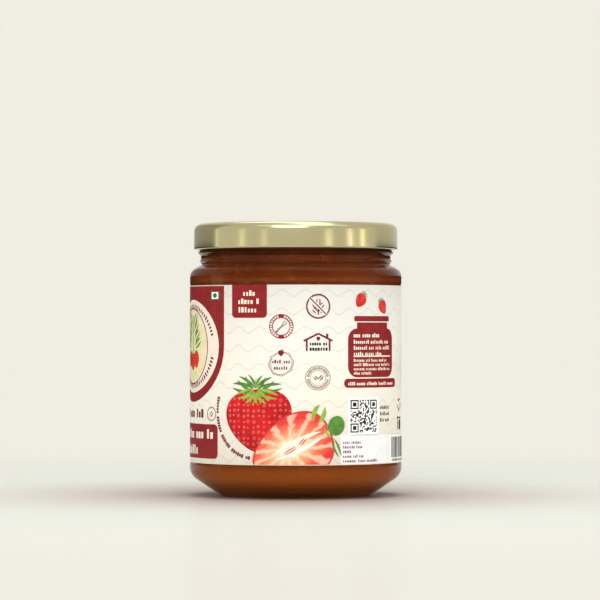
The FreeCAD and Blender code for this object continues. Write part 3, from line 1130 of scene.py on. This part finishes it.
def berry_flesh():
    """A cut berry: orange-red flesh streaked with cream from the core outwards."""
    material, tree, shader = paper_shader("berry_flesh")
    place = print_place(tree)
    for values in (
        dict(Location=(1.8, -16.0, 0.0)),
        dict(Rotation=(0.0, 0.0, math.radians(-24.0))),
        dict(Scale=(0.062, 0.1, 0.0)),
    ):
        place = add(tree, "ShaderNodeMapping", Vector=place, **values).outputs["Vector"]
    spread = add(tree, "ShaderNodeTexGradient", gradient_type="RADIAL", Vector=place)
    out = add(tree, "ShaderNodeVectorMath", operation="LENGTH", Vector=place).outputs["Value"]
    wobble = noise(tree, print_place(tree), 0.4, 3.0)
    spoke = maths(tree, "MULTIPLY", spread.outputs["Fac"], 14.0 * math.tau)
    spoke = maths(tree, "MULTIPLY_ADD", wobble, 5.0, spoke)
    streak = maths(tree, "MULTIPLY_ADD", maths(tree, "SINE", spoke), 0.5, 0.5)
    flesh = ramp(
        tree,
        maths(tree, "MULTIPLY_ADD", wobble, 0.35, maths(tree, "SUBTRACT", out, 0.15)),
        (0.2, srgb(250, 232, 208)),
        (0.42, srgb(246, 178, 134)),
        (0.66, srgb(238, 112, 84)),
        (0.92, srgb(222, 60, 56)),
    )
    pale = fade(tree, streak, 0.5, 0.95, end=0.6)
    feed(tree, shader, Base_Color=mixed(tree, pale, flesh, srgb(252, 228, 198)))
    return material


for ink, dark, light in (
    ("red_ink", (134, 26, 30), (146, 34, 38)),
    ("dark_red_ink", (112, 24, 34), (128, 32, 42)),
    ("pink_ink", (236, 150, 150), (244, 170, 166)),
    ("pale_ink", (246, 226, 212), (250, 236, 226)),
    ("cream_ink", (247, 243, 231), (250, 247, 237)),
    ("white_ink", (250, 250, 248), (253, 253, 252)),
    ("straw_ink", (232, 222, 170), (240, 232, 190)),
    ("brown_ink", (142, 112, 98), (156, 126, 112)),
    ("grey_ink", (150, 138, 122), (166, 154, 138)),
    ("black_ink", (24, 22, 22), (34, 31, 30)),
    ("green_ink", (16, 112, 56), (28, 128, 66)),
    ("wash_ink", (240, 238, 240), (246, 244, 245)),
    ("rim_ink", (206, 40, 40), (226, 66, 56)),
    ("core_ink", (252, 240, 222), (254, 248, 236)),
):
    finishes[ink] = once(printed_ink(ink, dark, light))
finishes.update(
    leaf_ink=once(printed_ink("leaf_ink", (38, 96, 26), (62, 138, 42), veined=True)),
    lime_ink=once(printed_ink("lime_ink", (120, 164, 46), (150, 190, 66), veined=True)),
    berry_ink=once(small_berry_skin),
    berry_skin=once(berry_skin),
    flesh_ink=once(berry_flesh),
)


# The studio


def seen_straight(tree):
    """1 for rays from the camera, a mirror or through glass, and 0 for soft light."""
    path = tree.nodes.new("ShaderNodeLightPath")
    seen = maths(tree, "MAXIMUM", path.outputs["Is Camera Ray"], path.outputs["Is Glossy Ray"])
    return maths(tree, "MAXIMUM", seen, path.outputs["Is Transmission Ray"])


def blended(tree, share, first, second):
    """Two shaders mixed by a share."""
    node = add(tree, "ShaderNodeMixShader", Fac=share)
    for plug, value in zip(node.inputs[1:], (first, second)):
        join(tree, value, plug)
    return node.outputs["Shader"]


def pale_floor():
    """Pale smooth floor: lit near the jar, so that it keeps the shadow, with a painted shadow
    from occlusion darkening its colour there, evenly bright far off, and glowing for soft light
    as painted bounce light on the jar.
    """
    material, tree, shader = new_material("pale_floor")
    place = object_place(tree)
    grain = fade(tree, noise(tree, place, 30.0, 2.0), 0.0, 1.0, 0.985)
    pale = mixed(tree, 1.0, grain, BACKDROP, "MULTIPLY")
    # painted shadow: occlusion near the jar darkens the floor's colour, tinted pink, for rays
    # seen straight
    near = add(tree, "ShaderNodeAmbientOcclusion", samples=16, Distance=0.16)
    shade = ramp(
        tree,
        near.outputs["AO"],
        (0.45, (0.4, 0.32, 0.31, 1.0)),
        (0.84, (0.76, 0.665, 0.675, 1.0)),
        (0.97, (1.0, 0.99, 0.99, 1.0)),
    )
    away = add(tree, "ShaderNodeVectorMath", operation="LENGTH", Vector=place).outputs["Value"]
    close = fade(tree, away, 0.09, 0.15, 1.0, 0.0)
    seen = seen_straight(tree)
    share = maths(tree, "MULTIPLY", seen, close)
    pale = mixed(tree, share, pale, mixed(tree, 1.0, pale, shade, "MULTIPLY"))
    # painted light: for soft light the floor glows at half strength, as painted bounce light on
    # the jar's heel
    painted_bounce_glow = maths(tree, "MULTIPLY_ADD", seen, -0.5, 0.5)
    feed(tree, shader, Base_Color=pale, Roughness=0.9, Specular_IOR_Level=0.0)
    feed(tree, shader, Emission_Color=BACKDROP, Emission_Strength=painted_bounce_glow)
    light = add(tree, "ShaderNodeEmission", Color=BACKDROP, Strength=1.0)
    spread = add(tree, "ShaderNodeMapRange", interpolation_type="SMOOTHSTEP", Value=away)
    feed(tree, spread, From_Min=0.1, From_Max=0.4, To_Min=0.0, To_Max=1.0)
    share = maths(tree, "MULTIPLY", seen, spread.outputs["Result"])
    lit = blended(tree, share, shader.outputs["BSDF"], light.outputs["Emission"])
    gloss = add(tree, "ShaderNodeBsdfGlossy", Color=grey(1.0), Roughness=0.22)
    both = blended(tree, 0.09, lit, gloss.outputs["BSDF"])
    feed(tree, tree.nodes["Material Output"], Surface=both)
    return material


def flat_sheet(name, material, size=1.0, turn=(0.0, 0.0, 0.0)):
    """A plain square that belongs to the studio."""
    fresh()
    bpy.ops.mesh.primitive_plane_add(size=size, rotation=turn)
    sheet = bpy.context.object
    sheet.name = name
    sheet.data.materials.append(material)
    sheet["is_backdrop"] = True
    return sheet


def card_finish(name, glow):
    """A matt black card, or a grey one that gives off a little light."""
    material, tree, shader = new_material(name)
    feed(tree, shader, Base_Color=grey(0.01), Specular_IOR_Level=0.0)
    feed(tree, shader, Emission_Color=BACKDROP, Emission_Strength=glow)
    return material


def make_cards():
    """Cards behind the jar, out of view: only the glass's edges and the lid's ends show them."""
    near, far, split = 0.02, 0.75, 0.09
    for name, across, bottom, top, glow in (
        ("left_dark_card", -0.21, 0.0, split, 0.0),
        ("right_dark_card", 0.21, 0.0, split, 0.0),
        ("left_grey_card", -0.21, split, 0.3, 0.5),
        ("right_grey_card", 0.21, split, 0.3, 0.85),
    ):
        card = flat_sheet(name, card_finish(name, glow), 1.0, (0.0, math.pi / 2, 0.0))
        card.scale = (top - bottom, far - near, 1.0)
        card.location = (across, (far + near) / 2, (top + bottom) / 2)
        card.visible_camera = False
        card.visible_diffuse = False
        card.visible_shadow = False


def lamp(name, place, aim, size, power, colour=(1.0, 1.0, 1.0)):
    """A soft rectangular lamp at a place, turned to face a point."""
    bpy.ops.object.light_add(type="AREA", location=place)
    light = bpy.context.object
    light.name = name
    light.data.shape = "RECTANGLE"
    light.data.size, light.data.size_y = size
    light.data.energy = power
    light.data.color = colour
    turn = (Vector(aim) - Vector(place)).to_track_quat("-Z", "Y")
    light.rotation_euler = turn.to_euler()
    light.visible_camera = False


def make_lights():
    """A large soft lamp in front, two overhead, and tall strips for the lid's bands."""
    middle = (0.0, 0.0, 0.05)
    lamp("front_lamp", (-0.15, -1.35, 0.95), middle, (1.0, 0.7), 8.2)
    lamp("edge_lamp", (0.1, -0.55, 1.05), middle, (2.0, 0.26), 1.7, (0.62, 0.86, 1.0))
    lamp("top_lamp", (0.1, 0.05, 1.0), middle, (1.7, 0.45), 4.0, (0.86, 1.0, 1.0))
    distance, height, tall = 0.9, 0.13, 0.24
    green, rose = (0.95, 1.0, 0.62), (1.0, 0.86, 0.78)
    for count, (degrees, width, power, colour) in enumerate(
        (
            (-101.0, 0.1, 0.065, green),
            (-62.0, 0.09, 0.053, green),
            (-35.0, 0.08, 0.04, rose),
            (37.0, 0.11, 0.088, green),
            (63.0, 0.08, 0.115, rose),
            (80.0, 0.08, 0.105, green),
        )
    ):
        turn = math.radians(degrees)
        place = (distance * math.sin(turn), -distance * math.cos(turn), height)
        lamp(f"strip_{count}", place, (0.0, 0.0, height), (width, tall), power, colour)


def make_world():
    """An even surround, seen as the pale backdrop."""
    world = bpy.data.worlds.new("studio")
    world.use_nodes = True
    bpy.context.scene.world = world
    tree = world.node_tree
    soft = tree.nodes["Background"]
    feed(tree, soft, Color=(1.0, 0.985, 0.96, 1.0), Strength=SURROUND_LIGHT)
    plain = add(tree, "ShaderNodeBackground", Color=BACKDROP, Strength=1.0)
    shaders = (soft.outputs["Background"], plain.outputs["Background"])
    both = blended(tree, seen_straight(tree), *shaders)
    feed(tree, tree.nodes["World Output"], Surface=both)


def make_camera():
    """A long lens, level with the middle of the jar."""
    place = Vector((0.0, -1.107, 0.0547))
    aim = Vector((0.0014, 0.0, 0.0635))
    bpy.ops.object.camera_add(location=place)
    camera = bpy.context.object
    camera.name = "front_camera"
    camera.rotation_euler = (aim - place).to_track_quat("-Z", "Y").to_euler()
    camera.data.lens = 203.8
    camera.data.sensor_width = 36.0
    camera.data.clip_start = 0.01
    bpy.context.scene.camera = camera


def write_sizes():
    """Works out the CAD box and the visual model's box as plain lists of corners."""
    boxes = {"cad": cad_box, "visual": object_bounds()}
    plain = {name: [list(corner) for corner in box] for name, box in boxes.items()}


fresh()
bpy.context.scene.view_settings.view_transform = "Standard"
make_glass()
make_jam()
make_lid()
make_paper()
print_label()
flat_sheet("floor", pale_floor(), 12.0)
make_cards()
make_lights()
make_world()
make_camera()
write_sizes()
